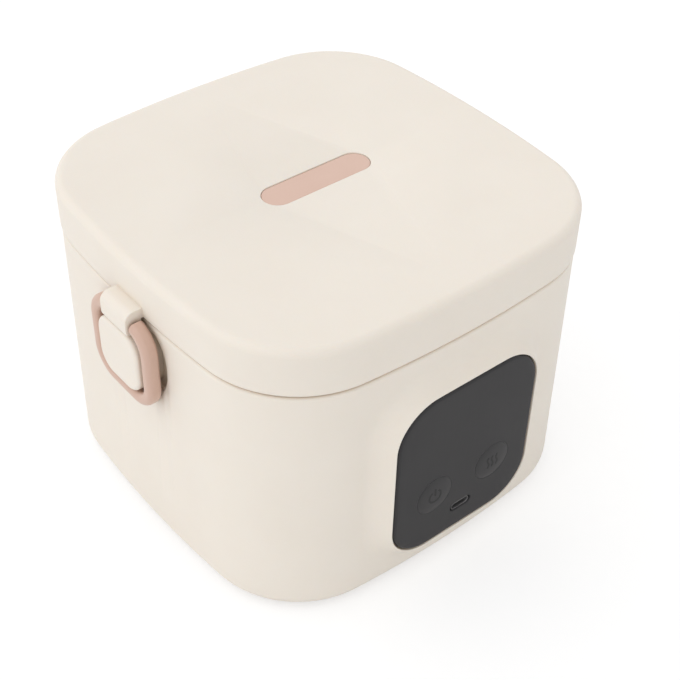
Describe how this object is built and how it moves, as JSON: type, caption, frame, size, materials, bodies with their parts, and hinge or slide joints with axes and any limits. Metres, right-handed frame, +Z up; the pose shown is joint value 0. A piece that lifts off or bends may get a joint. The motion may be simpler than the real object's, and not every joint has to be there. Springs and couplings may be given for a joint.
{
  "type": "electric lunch box",
  "caption": "Rounded square heated lunch box with a hinged lid, a ring latch, a dark front panel with push buttons and a charging port, and a lift-out pot inside.",
  "frame": {"origin": "middle of the whole footprint, on the surface that the rubber feet stand on", "axes": "+Z up, -Y out of the front with the control panel, -X to the latch, +X to the hinge"},
  "size_m": [0.185, 0.1782, 0.133],
  "materials": {
    "cream_plastic": "satin, fine-grained",
    "pink_plastic": "smooth, soft gloss",
    "panel_plastic": "smooth, semi-gloss",
    "button_plastic": "satin",
    "liner_plastic": "satin",
    "tray_plastic": "as moulded",
    "switch_plastic": "as moulded",
    "display_dark": "smoked face",
    "foot_rubber": "matte",
    "silicone": "translucent white silicone",
    "lead_rubber": "silicone sleeve",
    "foam": "closed-cell foam",
    "stainless": "satin stainless steel",
    "screw_steel": "zinc plated",
    "plate_aluminium": "as pressed",
    "heater_metal": "heat-tinted",
    "fuse_ceramic": "glazed",
    "board_laminate": "solder mask",
    "coil_ferrite": "ferrite",
    "cell_sleeve": "shrink sleeve"
  },
  "bodies": {
    "base": {"body_shell": "cream_plastic", "base_cover": "cream_plastic", "rubber_feet": "foot_rubber", "cover_screws": "screw_steel", "inner_liner": "liner_plastic", "inner_pot": "stainless", "food_tray": "stainless", "heating_plate": "plate_aluminium", "heater_tube": "heater_metal", "temperature_sensor": "stainless", "thermal_fuse": "fuse_ceramic", "heat_shield": "plate_aluminium", "shield_screws": "screw_steel", "cell_tray": "tray_plastic", "cells": "cell_sleeve", "power_board": "board_laminate", "power_coil": "coil_ferrite", "heater_leads": "lead_rubber", "control_panel": "panel_plastic", "panel_seal": "foot_rubber", "control_board": "board_laminate", "board_screws": "screw_steel", "button_switches": "switch_plastic", "port_socket": "stainless", "display_module": "display_dark", "hinge_pin": "screw_steel", "latch_strike": "cream_plastic", "strike_screws": "screw_steel"},
    "lid": {"lid_shell": "cream_plastic", "lid_plate": "liner_plastic", "lid_seal": "silicone", "lid_foam": "foam", "lid_screws": "screw_steel", "lid_inlay": "pink_plastic"},
    "latch_ring": {"latch_ring": "pink_plastic"},
    "power_button": {"power_button": "button_plastic"},
    "heat_button": {"heat_button": "button_plastic"}
  },
  "joints": [
    {"name": "lid_hinge", "type": "hinge", "parent": "base", "child": "lid", "pos_m": [0.0893, 0.00305, 0.11255], "axis": [0, 1, 0], "range_deg": [0, 100]},
    {"name": "latch_swing", "type": "hinge", "parent": "lid", "child": "latch_ring", "pos_m": [-0.0886, 0.00305, 0.1115], "axis": [0, 1, 0], "range_deg": [0, 110]},
    {"name": "power_button_press", "type": "slide", "parent": "base", "child": "power_button", "axis": [0, 1, 0], "range_m": [0, 0.0008], "stiffness_N_per_m": 1500, "springref_m": -0.0004},
    {"name": "heat_button_press", "type": "slide", "parent": "base", "child": "heat_button", "axis": [0, 1, 0], "range_m": [0, 0.0008], "stiffness_N_per_m": 1500, "springref_m": -0.0004}
  ]
}
